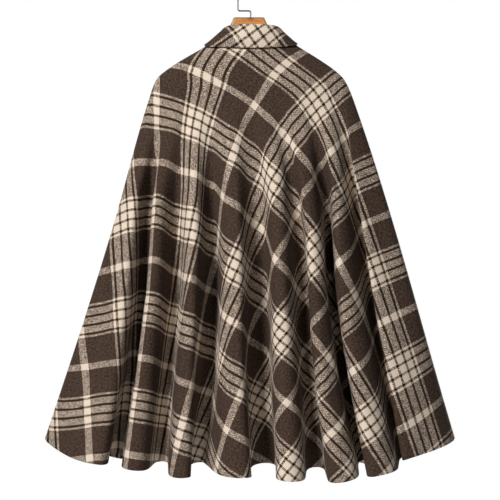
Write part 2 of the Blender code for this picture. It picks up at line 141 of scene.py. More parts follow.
RIGHT_FRONT_FOLDS = [
    Fold("ridge", 77.9, 81.5, 0.232, 0.262, 0.304, 0.340, 0.004, 0.000, 1.057, 0.000, 0.50),
    Fold("valley", 70.6, 73.0, 0.176, 0.200, 0.230, 0.256, 0.004, -0.006, 1.041, 0.000, 0.42),
    Fold("ridge", 62.9, 64.0, 0.120, 0.138, 0.158, 0.176, 0.004, 0.000, 1.026, 0.000, 0.50),
    Fold("valley", 54.3, 54.0, 0.062, 0.072, 0.084, 0.094, 0.004, -0.006, 1.008, 0.000, 0.42),
]

# Turn of a fold in plan: its steepest slope in radians, which laps over the cloth beside it past a right
# angle; the share of half a fold that its two bends take, on the way out to a ridge and back in from it;
# the share that bends next to the ridge where the rest runs straight to a side edge; and the depth, as a
# share of its cloth, under which half a fold counts as flat
STEEPEST_FOLD = 2.40
BENDS_BEFORE_RIDGE = 0.67
BENDS_AFTER_RIDGE = 0.81
EDGE_BEND = 0.40
FLAT_FOLD = 0.001

# How far the ridges stand out from the bow of a panel: by the depth of the first half fold at the first
# edge, then evenly to a share of the last half fold's depth at the back's last edge, or to a rise at the
# centre front, which grows from the neckline to the hem
LAST_EDGE_RISE = 0.5
CENTRE_FRONT_RISE = 0.033

# Least drop of the cloth from row to row, as a share of its length, and the power that keeps the pull of
# an edge's height to the cloth beside it
LEAST_DROP = 0.30
EDGE_HOLD = 10

# Creases, as soft troughs, or ridges where the depth is below zero: share of the width where one starts,
# fractions where it starts and ends, how far its share drifts, its half width and its depth
BACK_CREASES = [
    Crease(0.030, 0.34, 0.93, -0.006, 0.016, 0.0045),
    Crease(0.085, 0.16, 0.47, 0.012, 0.012, 0.0026),
    Crease(0.150, 0.11, 0.36, 0.020, 0.015, -0.0018),
    Crease(0.205, 0.14, 0.41, 0.010, 0.011, 0.0022),
    Crease(0.285, 0.50, 0.83, 0.008, 0.009, 0.0026),
    Crease(0.330, 0.10, 0.38, 0.004, 0.014, 0.0020),
    Crease(0.405, 0.62, 0.95, -0.010, 0.010, 0.0030),
    Crease(0.440, 0.13, 0.34, -0.004, 0.017, -0.0015),
    Crease(0.520, 0.09, 0.40, 0.006, 0.013, 0.0018),
    Crease(0.585, 0.45, 0.70, 0.006, 0.008, -0.0022),
    Crease(0.650, 0.15, 0.43, -0.008, 0.012, 0.0024),
    Crease(0.715, 0.58, 0.90, 0.004, 0.009, 0.0028),
    Crease(0.760, 0.10, 0.33, -0.012, 0.016, -0.0018),
    Crease(0.835, 0.17, 0.45, -0.006, 0.011, 0.0024),
    Crease(0.905, 0.12, 0.37, -0.004, 0.014, 0.0018),
    Crease(0.968, 0.30, 0.88, 0.006, 0.017, 0.0050),
]
LEFT_FRONT_CREASES = [
    Crease(0.055, 0.28, 0.86, -0.010, 0.016, 0.0045),
    Crease(0.200, 0.12, 0.46, 0.030, 0.013, 0.0040),
    Crease(0.400, 0.52, 0.90, -0.015, 0.011, 0.0032),
    Crease(0.560, 0.14, 0.50, 0.020, 0.014, -0.0034),
    Crease(0.690, 0.40, 0.78, 0.010, 0.010, 0.0030),
    Crease(0.860, 0.20, 0.72, -0.010, 0.013, 0.0036),
]
RIGHT_FRONT_CREASES = [
    Crease(0.045, 0.36, 0.92, 0.008, 0.017, 0.0048),
    Crease(0.170, 0.15, 0.42, 0.024, 0.012, -0.0032),
    Crease(0.330, 0.11, 0.52, 0.012, 0.014, 0.0040),
    Crease(0.510, 0.58, 0.94, -0.012, 0.010, 0.0030),
    Crease(0.640, 0.17, 0.48, 0.016, 0.013, 0.0038),
    Crease(0.830, 0.34, 0.81, -0.014, 0.012, 0.0034),
]

# How far a panel stands off the hanger's plane, and how much of the full depth its folds have
BACK_DEPTHS = [
    Depth(0.00, 0.030, 0.00),
    Depth(0.14, 0.031, 0.07),
    Depth(0.27, 0.046, 0.40),
    Depth(0.40, 0.062, 0.93),
    Depth(0.60, 0.086, 1.03),
    Depth(1.00, 0.117, 1.00),
]
FRONT_DEPTHS = [
    Depth(0.00, 0.055, 0.00),
    Depth(0.12, 0.046, 0.20),
    Depth(0.35, 0.062, 0.50),
    Depth(0.60, 0.082, 0.60),
    Depth(1.00, 0.101, 0.54),
]

# How far the centre edge of a front is moved, the right one out and the left one in, to lap over each other
LAP_AT_NECK = 0.0024
LAP_AT_HEM = 0.0034

PANELS = {
    "back": Panel(LEFT_SIDE, RIGHT_SIDE, BACK_FOLDS, BACK_CREASES, BACK_DEPTHS, BACK_FOLD_COLUMNS,
                  BACK_ROWS, side_to_side=True, lap=0.0, facing=-1.0),
    "left_front": Panel(LEFT_SIDE, LEFT_CENTRE_FRONT, LEFT_FRONT_FOLDS, LEFT_FRONT_CREASES, FRONT_DEPTHS,
                        FRONT_FOLD_COLUMNS, FRONT_ROWS, side_to_side=False, lap=-1.0, facing=1.0),
    "right_front": Panel(RIGHT_SIDE, RIGHT_CENTRE_FRONT, RIGHT_FRONT_FOLDS, RIGHT_FRONT_CREASES,
                         FRONT_DEPTHS, FRONT_FOLD_COLUMNS, FRONT_ROWS, side_to_side=False, lap=1.0,
                         facing=1.0),
}

# Neckline ring, half sizes about its centre
NECK_CENTRE_X = 0.004
NECK_HALF_WIDTH = 0.080
NECK_BACK_DEPTH = 0.030
NECK_FRONT_DEPTH = 0.055
NECK_Z = -0.121
NECK_FRONT_DROP = 0.055
NECK_DROP_POWER = 1.5

# Collar: the ring of its fold line, and the lower edge of its fall by turn (0 behind, 1 in front),
# with its reach below the neckline and its stand-off from the panel under it
FOLD_HALF_WIDTH = 0.064
FOLD_BACK_DEPTH = 0.032
FOLD_FRONT_DEPTH = 0.056
FOLD_BACK_Z = -0.0945
FOLD_SIDE_DROP = 0.015
FOLD_FRONT_DROP = 0.060
FOLD_SIDE_POWER = 8
FOLD_ROLL = 0.0033
FALL_EDGE = [
    FallEdge(0.00, 0.019, 0.0040),
    FallEdge(0.30, 0.016, 0.0040),
    FallEdge(0.44, 0.009, 0.0040),
    FallEdge(0.52, 0.007, 0.0040),
    FallEdge(0.75, 0.030, 0.0075),
    FallEdge(0.97, 0.050, 0.0085),
]
FALL_LEAN = 0.5
FALL_BULGE = 0.0045
COLLAR_FRONT_GAP = math.radians(7.0)
COLLAR_COLUMNS = 220
STAND_ROWS = 8
ROLL_ROWS = 8
FALL_ROWS = 22

# Hanger: a flat wooden bar under the shoulders, and a bent wire hook
BAR_THICKNESS = 0.008
BAR_EDGE_ROUNDING = 0.0032
BAR_CENTRE_X = -0.0020
BAR_CREST_Z = -0.0707
BAR_CREST_HALF_WIDTH = 0.0325
BAR_CREST_CORNER = 0.0055
BAR_CREST_FOOT_HALF_WIDTH = 0.0385
BAR_CREST_FOOT_Z = -0.0890
BAR_UNDERSIDE_Z = -0.1444
BAR_ARM_HEIGHT = 0.026
BAR_ARM_REACH = 0.70
BAR_CLEARANCE = 0.0011
HOOK_WIRE_RADIUS = 0.0015
HOOK_RADIUS = 0.024
HOOK_JOG_Z = -0.0575
HOOK_STEM_X = 0.0014
HOOK_STEM_GAP = 0.0003
HOOK_BEND_RADIUS = 0.004
HOOK_TIP_ANGLE = math.radians(-25.0)
HOOK_ARC_POINTS = 40
CORNER_POINTS = 9
ARM_END_POINTS = 17
BAR_BEVEL_STEPS = 4
HOOK_BEVEL_STEPS = 5
WELD_DISTANCE = 0.00001
SHARP_WIRE_END = math.radians(50.0)

# Plaid: half of its repeat, from the middle of the single cream line to the middle of the band.
# The same half is then laid mirror-wise, in the warp and in the weft.
HALF_SETT = [
    Stripe("cream", 0.0068),
    Stripe("brown", 0.0570),
    Stripe("cream", 0.0049),
    Stripe("dark", 0.0051),
    Stripe("cream", 0.0134),
    Stripe("dark", 0.0052),
    Stripe("cream", 0.0071),
]
PLAID_REPEAT = 0.195
PLAID_START_U = -1.2

# Yarns: their pitch and wander, how warp and weft show at a crossing, by the twill's steps and by chance,
# how far the brown yarn is heathered and all the yarns are mottled, and how high they stand
YARN_PITCH = 0.0013
YARN_WANDER = 0.006
YARN_MIX_POWER = 3.0
YARN_CHANCE = 0.80
TWILL_SHARE = 0.20
TWILL_YARNS = 4
HEATHER_CONTRAST = 4.4
DARKEST_HEATHER = 0.1
MELANGE_CONTRAST = 1.2
TWILL_HEIGHT = 0.35
MELANGE_HEIGHT = 0.8

# Collar's place in the plaid: cut on the bias, with the middle of the band behind the neck
COLLAR_BIAS = math.radians(39.5)
COLLAR_BAND_X = 0.0144
COLLAR_BAND_REACH = 0.025
COLLAR_STRETCH = 1.06

# Yarn colours, linear RGB, and the sockets that take them
BROWN_YARN = (0.055, 0.035, 0.025, 1.0)
CREAM_YARN = (0.695, 0.580, 0.470, 1.0)
DARK_YARN = (0.019, 0.010, 0.004, 1.0)
NAP_SHEEN = (0.85, 0.75, 0.68, 1.0)
YARN_SOCKETS = {"Brown": "Color", "Cream": "Color", "Dark": "Color"}

# Hanger colours, linear RGB
PALE_WOOD = (0.560, 0.215, 0.036, 1.0)
DEEP_WOOD = (0.380, 0.118, 0.016, 1.0)
YELLOW_WOOD = (0.500, 0.250, 0.036, 1.0)
# Dark brown of the grain's pores, also used for the painted shade on the bar's rim and round the hook
DARK_GRAIN_AND_SHADE = (0.075, 0.026, 0.008, 1.0)
DULL_STEEL = (0.075, 0.075, 0.080, 1.0)
BRIGHT_STEEL = (0.190, 0.190, 0.200, 1.0)

# Finish of the bar: the painted shade on its rounded rim ends between these shares of its thickness from
# the middle, the painted shade round the hook's hole fades between these radii, and the wood is yellower on
# the left
RIM_SHADE_SHARES = (0.46, 0.495)
HOOK_SHADE_RADII = (0.003, 0.011)
YELLOW_WOOD_X = (-0.045, 0.0)
GRAIN_SCALE = (12.0, 90.0, 160.0)
PORE_SCALE = (40.0, 900.0, 900.0)

# Finish of the hook: scratches along the drawn wire, and how far they brighten it
SCRATCH_SCALE = (2500.0, 2500.0, 300.0)
SCRATCH_SHARE = 0.4

# Camera and light
VIEW_WIDTH = 1.0
VIEW_CENTRE_Z = -0.5357
CAMERA_DISTANCE = 1.8
SENSOR_WIDTH = 36.0
FLOOR_Z = -1.60
FLOOR_RADIUS = 1.5
FLOOR_CORNERS = 96
FLOOR_FADE_SHARES = (0.25, 0.95)
FLOOR_PAINT = (0.92, 0.92, 0.92, 1.0)
WHITE = (1.0, 1.0, 1.0, 1.0)
ROOM_LIGHT = 0.035
SOFT_BOXES = [
    SoftBox("key_light", (-2.16, -3.33, 1.52), 1.04, 230.0),
    SoftBox("fill_light", (0.9, -2.9, 0.5), 1.5, 13.0),
    SoftBox("front_light", (1.9, 2.7, 0.8), 1.2, 135.0),
    SoftBox("front_fill_light", (-1.6, 2.8, 0.2), 1.5, 45.0),
]


# Cut of a panel

def smooth_along(keys, values, at):
    """Smooth curve through a table's values that doesn't swing past them."""
    keys = np.asarray(keys, float)
    values = np.asarray(values, float)
    at = np.asarray(at, float)
    steps = np.diff(keys)
    slopes = np.diff(values) / steps
    tangents = np.concatenate([slopes[:1], np.zeros(len(keys) - 2), slopes[-1:]])
    for place in range(1, len(keys) - 1):
        before, after = slopes[place - 1], slopes[place]
        if before * after > 0.0:
            tangents[place] = 2.0 * before * after / (before + after)
    index = np.clip(np.searchsorted(keys, at, side="right") - 1, 0, len(steps) - 1)
    along = (at - keys[index]) / steps[index]
    first = (1.0 + 2.0 * along) * (1.0 - along) ** 2 * values[index]
    last = along ** 2 * (3.0 - 2.0 * along) * values[index + 1]
    first_turn = along * (1.0 - along) ** 2 * steps[index] * tangents[index]
    last_turn = along ** 2 * (along - 1.0) * steps[index] * tangents[index + 1]
    return first + last + first_turn + last_turn


def along_table(table, key, value, at):
    """Value of one named column of a table at a place along another."""
    return smooth_along([getattr(row, key) for row in table], [getattr(row, value) for row in table], at)


def edge_radius(edge, fraction):
    """Radius in the cut of a panel's edge."""
    return edge[0].radius + (edge[-1].radius - edge[0].radius) * fraction


def edge_at(edge, column, fraction):
    """Angle in the cut, or place in space, of a panel's edge."""
    radius = edge_radius(edge, fraction)
    if column != "angle":
        return along_table(edge, "radius", column, radius)
    radii = [point.radius for point in edge]
    flat_u = smooth_along(radii, [p.radius * math.cos(math.radians(p.angle)) for p in edge], radius)
    flat_v = smooth_along(radii, [p.radius * math.sin(math.radians(p.angle)) for p in edge], radius)
    return np.arctan2(flat_v, flat_u)


def both_edges(panel, column, fraction):
    return edge_at(panel.first_edge, column, fraction), edge_at(panel.last_edge, column, fraction)


def along_folds(panel, column, first, last):
    """One column of a panel's folds, between the values at its two edges."""
    return [first] + [getattr(fold, column) for fold in panel.folds] + [last]


def fold_shares(panel, fraction):
    """Share of a row's width, in the flat cloth, at which each ridge and valley lies."""
    fraction = max(fraction, FOLD_UPPER)
    travel = ((fraction - FOLD_UPPER) / (1.0 - FOLD_UPPER)) ** FOLD_DRIFT_POWER
    first_angle, last_angle = both_edges(panel, "angle", fraction)
    angles = [math.radians(fold.upper_angle + (fold.hem_angle - fold.upper_angle) * travel)
              for fold in panel.folds]
    return [0.0] + [(angle - first_angle) / (last_angle - first_angle) for angle in angles] + [1.0]


def straight_x(panel, share, fraction):
    """Place across of a share of the width, for cloth without folds."""
    first_x, last_x = both_edges(panel, "x", fraction)
    return first_x + (last_x - first_x) * share


def fold_x(panel, fold, shares, fractions):
    """Place across of a ridge or valley: smooth above, then by its track to the hem."""
    places = (fold.upper_x, fold.middle_x, fold.lower_x, fold.hem_x)
    straight = straight_x(panel, shares, fractions)
    offsets = [place - np.interp(station, fractions, straight)
               for place, station in zip(places, FOLD_STATIONS)]
    keys = [0.0, FOLD_START] + list(FOLD_STATIONS)
    return straight + smooth_along(keys, [0.0, 0.0] + offsets, fractions)


# Drape of a panel

def quarter_wave(along):
    """Rise from 0 to 1, level at its end."""
    return np.sin(0.5 * math.pi * np.clip(along, 0.0, 1.0))


def flank_shape(ridge_bend, valley_bend, along):
    """Share of a fold's steepest slope, from the middle of its ridge to the middle of its valley."""
    return quarter_wave(along / ridge_bend) * quarter_wave((1.0 - along) / valley_bend)


def fold_slope(kind, bend, ratio, along):
    """Slope of the cloth in plan along half a fold, for the ratio of its span to its length of cloth."""
    if kind == "end":
        shape = quarter_wave(along / EDGE_BEND)
    elif kind == "start":
        shape = -quarter_wave((1.0 - along) / EDGE_BEND)
    elif kind == "ridge":
        shape = flank_shape(bend, BENDS_AFTER_RIDGE - bend, along)
    else:
        shape = -flank_shape(bend, BENDS_BEFORE_RIDGE - bend, 1.0 - along)
    slopes = np.linspace(0.0, STEEPEST_FOLD, FINE_STEPS)
    spans = np.cos(slopes[:, None] * shape[None, :]).mean(axis=1)
    return np.interp(-ratio, -spans, slopes) * shape


def running_sum(values):
    """Running integral of even steps over a length of one."""
    steps = 0.5 * (values[1:] + values[:-1]) / (len(values) - 1)
    return np.concatenate([[0.0], np.cumsum(steps)])


def half_fold(length, span, kind, bend, count):
    """Run across and share of the depth at the columns along half a fold, and its depth."""
    along = np.linspace(0.0, 1.0, FINE_STEPS)
    slope = fold_slope(kind, bend, min(span / length, 1.0), along)
    across = running_sum(np.cos(slope)) * length
    depth = running_sum(np.sin(slope))
    columns = np.linspace(0.0, 1.0, count + 1)[1:]
    depth_share = 0.5 - 0.5 * np.cos(math.pi * columns)
    if abs(depth[-1]) > FLAT_FOLD:
        depth_share = np.interp(columns, along, depth / depth[-1])
    run = np.interp(columns, along, across) + (span - across[-1]) * columns
    return run, depth_share, abs(depth[-1]) * length


def panel_columns(shares, count):
    """Share of a row's width at each column, with a number of columns in each half fold."""
    steps = [np.linspace(start, stop, count, endpoint=False)
             for start, stop in zip(shares[:-1], shares[1:])]
    return np.concatenate(steps + [[1.0]])


def neck_swell(panel, columns):
    """Bow of a row in plan: half an ellipse from side to side, or a quarter to the centre front."""
    if panel.side_to_side:
        return 2.0 * np.sqrt(columns * (1.0 - columns))
    return np.sqrt(columns * (2.0 - columns))


def flat_row(panel, shares, columns, fraction):
    """Points of one arc of the cut, in the flat cloth."""
    first_angle, last_angle = both_edges(panel, "angle", fraction)
    first, last = panel.first_edge, panel.last_edge
    neck_radii = first[0].radius + (last[0].radius - first[0].radius) * columns
    hem_table = along_folds(panel, "hem_radius", first[-1].radius, last[-1].radius)
    hem_radii = smooth_along(shares, hem_table, columns)
    radii = neck_radii + (hem_radii - neck_radii) * fraction
    angles = first_angle + (last_angle - first_angle) * columns
    return np.stack([radii * np.cos(angles), radii * np.sin(angles)], axis=1)


def fold_levels(panel, shares, sizes, fraction):
    """Depth of a row's edges, ridges and valleys, inwards from the bow of the panel.

    A valley lies as deep as its two flanks do on average, or deeper.
    """
    deeper_part = smooth_along(DEEPER_FRACTIONS, DEEPER_PARTS, fraction)
    last_rise = LAST_EDGE_RISE * sizes[-1] if panel.side_to_side else CENTRE_FRONT_RISE * fraction
    levels = [0.0]
    for number, fold in enumerate(panel.folds):
        place = number + 1
        rise = sizes[0] + (last_rise - sizes[0]) * shares[place]
        depth = 0.0
        if fold.kind == "valley":
            depth = 0.5 * (sizes[number] + sizes[place]) + fold.deeper * deeper_part
        levels.append(depth - rise)
    levels.append(0.0 if panel.side_to_side else -last_rise)
    return levels


def drape_row(panel, flat, columns, stations, fraction):
    """Plan points of one arc of the cut, laid in its folds."""
    count = panel.fold_columns
    lengths = np.linalg.norm(np.diff(flat, axis=0), axis=1)
    kinds = ["start"] + [fold.kind for fold in panel.folds]
    if panel.side_to_side:
        kinds[-1] = "end"
    bends = [0.0] + [fold.bend for fold in panel.folds]
    direction = math.copysign(1.0, stations[-1] - stations[0])
    runs = []
    for index, (kind, bend) in enumerate(zip(kinds, bends)):
        length = lengths[index * count:(index + 1) * count].sum()
        span = direction * (stations[index + 1] - stations[index])
        runs.append(half_fold(length, span, kind, bend, count))
    levels = fold_levels(panel, columns[::count], [size for _, _, size in runs], fraction)
    across = [stations[0]]
    depth = [0.0]
    for index, (run, depth_share, _) in enumerate(runs):
        across.extend(stations[index] + direction * run)
        depth.extend(levels[index] + (levels[index + 1] - levels[index]) * depth_share)
    fold_share = along_table(panel.depths, "fraction", "fold_share", fraction)
    stand_off = along_table(panel.depths, "fraction", "stand_off", fraction)
    lap = panel.lap * (LAP_AT_NECK + (LAP_AT_HEM - LAP_AT_NECK) * fraction)
    bow = stand_off * neck_swell(panel, columns)
    outwards = SIDE_SEAM_Y + bow - fold_share * np.array(depth) + lap * columns
    return np.array(across), panel.facing * outwards


def drape(panel):
    """Draped points of a panel, a row for each arc of the cut from the neckline to the hem."""
    fractions = np.linspace(0.0, 1.0, panel.rows + 1) ** ROW_SPACING_POWER
    shares = np.array([fold_shares(panel, fraction) for fraction in fractions])
    columns = np.array([panel_columns(row_shares, panel.fold_columns) for row_shares in shares])
    tracks = [straight_x(panel, 0.0, fractions)]
    tracks += [fold_x(panel, fold, shares[:, number + 1], fractions)
               for number, fold in enumerate(panel.folds)]
    tracks += [straight_x(panel, 1.0, fractions)]
    tracks = np.array(tracks)
    grid = np.zeros(columns.shape + (3,))
    flat = np.zeros(columns.shape + (2,))
    for row, fraction in enumerate(fractions):
        flat[row] = flat_row(panel, shares[row], columns[row], fraction)
        across, outwards = drape_row(panel, flat[row], columns[row], tracks[:, row], fraction)
        grid[row, :, 0] = across
        grid[row, :, 1] = outwards
    neck_drop = 0.0 if panel.side_to_side else panel.last_edge[0].z - panel.first_edge[0].z
    grid[0, :, 2] = NECK_Z + neck_drop * neck_swell(panel, columns[0]) ** NECK_DROP_POWER
    hang(panel, grid, flat, columns, shares, fractions)
    press_creases(panel, grid, flat, columns, fractions)
    return Draped(grid, flat, columns[0], fractions)


def hang(panel, grid, flat, columns, shares, fractions):
    """Heights: what is left of the cloth's length down a column after its run in plan, less its sag."""
    for row in range(1, len(grid)):
        cloth = np.linalg.norm(flat[row] - flat[row - 1], axis=1)
        plan = np.linalg.norm(grid[row, :, :2] - grid[row - 1, :, :2], axis=1)
        drop = np.sqrt(np.maximum(cloth ** 2 - plan ** 2, (LEAST_DROP * cloth) ** 2))
        grid[row, :, 2] = grid[row - 1, :, 2] - drop
    first_z, last_z = both_edges(panel, "z", fractions)
    first_pull = (first_z - grid[:, 0, 2])[:, None] * (1.0 - columns) ** EDGE_HOLD
    last_pull = (last_z - grid[:, -1, 2])[:, None] * columns ** EDGE_HOLD
    grid[:, :, 2] += first_pull + last_pull
    middle_sags = along_folds(panel, "middle_sag", 0.0, 0.0)
    hem_sags = along_folds(panel, "hem_sag", 0.0, 0.0)
    for row, fraction in enumerate(fractions):
        middle = smooth_along(shares[row], middle_sags, columns[row])
        hem = smooth_along(shares[row], hem_sags, columns[row])
        middle_part = smooth_along([0.0, SAG_START, SAG_MIDDLE, 1.0], [0.0, 0.0, 1.0, 0.0], fraction)
        hem_part = smooth_along([0.0, SAG_MIDDLE, 1.0], [0.0, 0.0, 1.0], fraction)
        grid[row, :, 2] -= middle * middle_part + hem * hem_part


def press_creases(panel, grid, flat, columns, fractions):
    """Press each crease of a panel into its draped points, along their normals."""
    normals = np.cross(np.gradient(grid, axis=0), np.gradient(grid, axis=1))
    normals /= np.linalg.norm(normals, axis=2)[:, :, None]
    normals *= np.sign(normals[:, :, 1].mean() * panel.facing)
    row_lengths = np.linalg.norm(np.diff(flat, axis=1), axis=2).sum(axis=1)
    press = np.zeros(columns.shape)
    for crease in panel.creases:
        travel = np.clip((fractions - crease.upper) / (crease.lower - crease.upper), 0.0, 1.0)
        apart = (columns - (crease.share + crease.drift * travel)[:, None]) * row_lengths[:, None]
        trough = np.exp(-(apart / crease.half_width) ** 2)
        press += crease.depth * np.sin(math.pi * travel)[:, None] * trough
    grid -= normals * press[:, :, None]


# Meshes

def add_object(name, data):
    piece = bpy.data.objects.new(name, data)
    bpy.context.scene.collection.objects.link(piece)
    return piece


def plaid_place(flat):
    """Place in the plaid, in repeats, of points of the flat cloth."""
    return flat / PLAID_REPEAT + np.array([PLAID_START_U, 0.0])


def cloth_shell(name, grid, cut, material, offset, flip=False):
    """A sheet of cloth through a grid of points, with its thickness, and its cut as a map."""
    rows, columns, _ = grid.shape
    index = np.arange(rows * columns).reshape(rows, columns)
    faces = np.stack([index[:-1, :-1], index[1:, :-1], index[1:, 1:], index[:-1, 1:]], axis=-1)
    faces = faces.reshape(-1, 4)
    if flip:
        faces = faces[:, ::-1]
    mesh = bpy.data.meshes.new(name)
    mesh.from_pydata(grid.reshape(-1, 3).tolist(), [], faces.tolist())
    layer = mesh.uv_layers.new(name=CUT_MAP)
    layer.data.foreach_set("uv", cut.reshape(-1, 2)[faces.ravel()].astype(np.float32).ravel())
    mesh.materials.append(material)
    mesh.shade_smooth()
    shell = add_object(name, mesh)
    solidify = shell.modifiers.new("cloth thickness", "SOLIDIFY")
    solidify.thickness = CLOTH_THICKNESS
    solidify.offset = offset
    bevel = shell.modifiers.new("soft edges", "BEVEL")
    bevel.width = EDGE_ROUNDING
    bevel.segments = EDGE_STEPS
    bevel.limit_method = "ANGLE"
    bevel.angle_limit = SHARP_CLOTH_EDGE
    return shell


# Collar

def neck_ring(angles, half_width, back_depth, front_depth, back_z, side_drop, front_drop):
    """A line round the neck, level behind, dropping over the shoulders to the front."""
    sine = np.sin(angles)
    cosine = np.cos(angles)
    behind = cosine > 0.0
    depth = -cosine * np.where(behind, back_depth, front_depth)
    side_share = np.where(behind, np.abs(sine) ** FOLD_SIDE_POWER, 1.0)
    front_share = np.where(behind, 0.0, np.abs(cosine) ** NECK_DROP_POWER)
    height = back_z - side_drop * side_share - (front_drop - side_drop) * front_share
    return np.stack([NECK_CENTRE_X + half_width * sine, depth, height], axis=1)


def outward(angles, lean):
    """Directions that lead out from the neck, leaning up."""
    directions = np.stack([np.sin(angles), -np.cos(angles), np.full(len(angles), lean)], axis=1)
    return directions / np.linalg.norm(directions, axis=1)[:, None]


def on_panel(panel, draped, place_x, reach):
    """Point of a draped panel at a reach below the place x of its neckline."""
    first_x = panel.first_edge[0].x
    share = np.clip((place_x - first_x) / (panel.last_edge[0].x - first_x), 0.0, 1.0)
    cloth = edge_radius(panel.first_edge, 1.0) - edge_radius(panel.first_edge, 0.0)
    row_line = [[np.interp(reach / cloth, draped.fractions, draped.grid[:, index, axis])
                 for index in range(len(draped.shares))] for axis in range(3)]
    return [np.interp(share, draped.shares, line) for line in row_line]


def fall_edge_line(angles, draped_panels):
    """Lower edge of the collar: points of the panels, moved out."""
    points = []
    for angle in angles:
        name = "back"
        if math.cos(angle) < 0.0:
            name = "left_front" if angle < 0.0 else "right_front"
        turn = abs(angle) / math.pi
        place_x = NECK_CENTRE_X + NECK_HALF_WIDTH * math.sin(angle)
        reach = along_table(FALL_EDGE, "turn", "reach", turn)
        points.append(on_panel(PANELS[name], draped_panels[name], place_x, reach))
    stand_off = along_table(FALL_EDGE, "turn", "stand_off", np.abs(angles) / math.pi)
    return np.array(points) + outward(angles, FALL_LEAN) * stand_off[:, None]


def rows_between(first, last, rows, bulge):
    """Rows of points from one line to another, bulged out half-way."""
    shares = np.linspace(0.0, 1.0, rows + 1)[:, None, None]
    return first[None] * (1.0 - shares) + last[None] * shares + bulge[None] * np.sin(math.pi * shares)


def collar_grid(angles, draped_panels):
    """Points of the stand, the roll at the fold line and the fall, in rows from the neck seam."""
    inset = 0.5 * CLOTH_THICKNESS
    seam = neck_ring(angles, NECK_HALF_WIDTH - inset, NECK_BACK_DEPTH - inset, NECK_FRONT_DEPTH - inset,
                     NECK_Z, 0.0, NECK_FRONT_DROP)
    stand_top = neck_ring(angles, FOLD_HALF_WIDTH - inset, FOLD_BACK_DEPTH - inset,
                          FOLD_FRONT_DEPTH - inset, FOLD_BACK_Z, FOLD_SIDE_DROP, FOLD_FRONT_DROP)
    across = outward(angles, 0.0) * FOLD_ROLL
    rise = np.tile([0.0, 0.0, 0.5 * FOLD_ROLL], (len(angles), 1))
    turns = np.linspace(0.0, math.pi, ROLL_ROWS + 1)[1:-1, None, None]
    stand = rows_between(seam, stand_top, STAND_ROWS, np.zeros_like(seam))
    roll = stand_top[None] + across[None] * 0.5 * (1.0 - np.cos(turns)) + rise[None] * np.sin(turns)
    bulge = outward(angles, FALL_LEAN) * FALL_BULGE * np.cos(angles)[:, None] ** 2
    fall = rows_between(stand_top + across, fall_edge_line(angles, draped_panels), FALL_ROWS, bulge)
    return np.concatenate([stand, roll, fall])


def lengths_along(grid, axis):
    """Length from the first row or column of a grid to each of its points."""
    steps = np.linalg.norm(np.diff(grid, axis=axis), axis=2)
    return np.insert(np.cumsum(steps, axis=axis), 0, 0.0, axis=axis)


def collar_flat(grid):
    """The collar laid flat: along it from the middle of the band, and down from its fold line."""
    down = lengths_along(grid, 0)
    around = lengths_along(grid, 1)
    down -= down[STAND_ROWS + ROLL_ROWS // 2].copy()
    around -= around[:, COLLAR_COLUMNS // 2][:, None] + COLLAR_BAND_X - NECK_CENTRE_X
    return np.stack([around, down], axis=-1)


def collar_plaid_place(flat):
    """Place in the plaid, in repeats, of the collar's points, turned on the bias."""
    around = flat[:, :, 0]
    below_band = flat[:, :, 1] - COLLAR_BAND_REACH
    across_bias = around * math.cos(COLLAR_BIAS) - below_band * math.sin(COLLAR_BIAS)
    down_bias = around * math.sin(COLLAR_BIAS) + below_band * math.cos(COLLAR_BIAS)
    return np.stack([across_bias, down_bias], axis=-1) / (PLAID_REPEAT * COLLAR_STRETCH) + 0.5


def make_collar(draped_panels, material):
    """Stand and fall in one sheet, turned over at the fold line."""
    limit = math.pi - COLLAR_FRONT_GAP
    angles = np.linspace(-limit, limit, COLLAR_COLUMNS + 1)
    grid = collar_grid(angles, draped_panels)
    flat = collar_flat(grid)
    return cloth_shell("collar", grid, collar_plaid_place(flat), material, 0.0), flat


# Hanger

def arc_points(centre, radius, start, stop, count):
    angles = np.linspace(start, stop, count)
    return [(centre[0] + radius * math.cos(angle), centre[1] + radius * math.sin(angle))
            for angle in angles]


def arm_points(side_edge, side):
    """One arm: its top follows the shoulder under the cloth, and its end is round."""
    neck, shoulder = side_edge[0], side_edge[1]
    slope = math.atan2(neck.z - shoulder.z, abs(shoulder.x - neck.x))
    drop = (CLOTH_THICKNESS + BAR_CLEARANCE) / math.cos(slope)
    tip_x = neck.x + (shoulder.x - neck.x) * BAR_ARM_REACH
    tip_z = neck.z + (shoulder.z - neck.z) * BAR_ARM_REACH - drop
    half = 0.5 * BAR_ARM_HEIGHT
    centre_x = tip_x - side * half * math.sin(slope)
    centre_z = tip_z - half * math.cos(slope)
    start = 0.5 * math.pi - slope
    turn = arc_points((0.0, 0.0), half, start, start - math.pi, ARM_END_POINTS)
    return [(neck.x, neck.z - drop)] + [(centre_x + side * x, centre_z + z) for x, z in turn]


def crest_corner(side, start, stop):
    """One rounded upper corner of the bar's crest."""
    inset = BAR_CREST_HALF_WIDTH - BAR_CREST_CORNER
    centre = (BAR_CENTRE_X + side * inset, BAR_CREST_Z - BAR_CREST_CORNER)
    return arc_points(centre, BAR_CREST_CORNER, start, stop, CORNER_POINTS)


def bar_outline():
    """Outline of the wooden bar: a flat crest over two sloping arms."""
    left = [(BAR_CENTRE_X - BAR_CREST_FOOT_HALF_WIDTH, BAR_CREST_FOOT_Z)] + arm_points(LEFT_SIDE, -1.0)
    right = [(BAR_CENTRE_X + BAR_CREST_FOOT_HALF_WIDTH, BAR_CREST_FOOT_Z)] + arm_points(RIGHT_SIDE, 1.0)
    crest = crest_corner(1.0, 0.0, 0.5 * math.pi) + crest_corner(-1.0, 0.5 * math.pi, math.pi)
    return crest + left + [(BAR_CENTRE_X, BAR_UNDERSIDE_Z)] + right[::-1]


